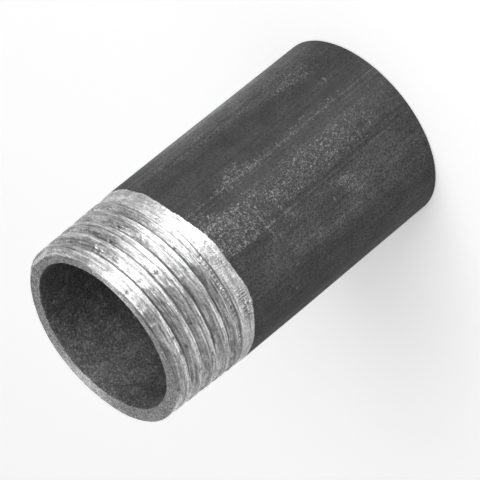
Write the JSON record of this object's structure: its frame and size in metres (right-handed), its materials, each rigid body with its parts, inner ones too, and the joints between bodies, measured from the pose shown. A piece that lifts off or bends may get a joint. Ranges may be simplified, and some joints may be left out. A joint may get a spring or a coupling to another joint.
{
  "type": "pipe nipple",
  "caption": "Short length of steel pipe with a taper pipe thread cut on one end and a plain square end for welding on the other.",
  "frame": {"origin": "centre of the plain end face, which is the bottom of the standing nipple", "axes": "+Z along the pipe's axis from the plain end towards the threaded end; X and Y across the pipe"},
  "size_m": [0.0212, 0.0212, 0.038],
  "materials": {
    "black_steel": "dark mill scale on the outside and in the bore, bright cut metal on the thread and the end faces"
  },
  "bodies": {
    "root": {"pipe_nipple": "black_steel"}
  },
  "joints": []
}
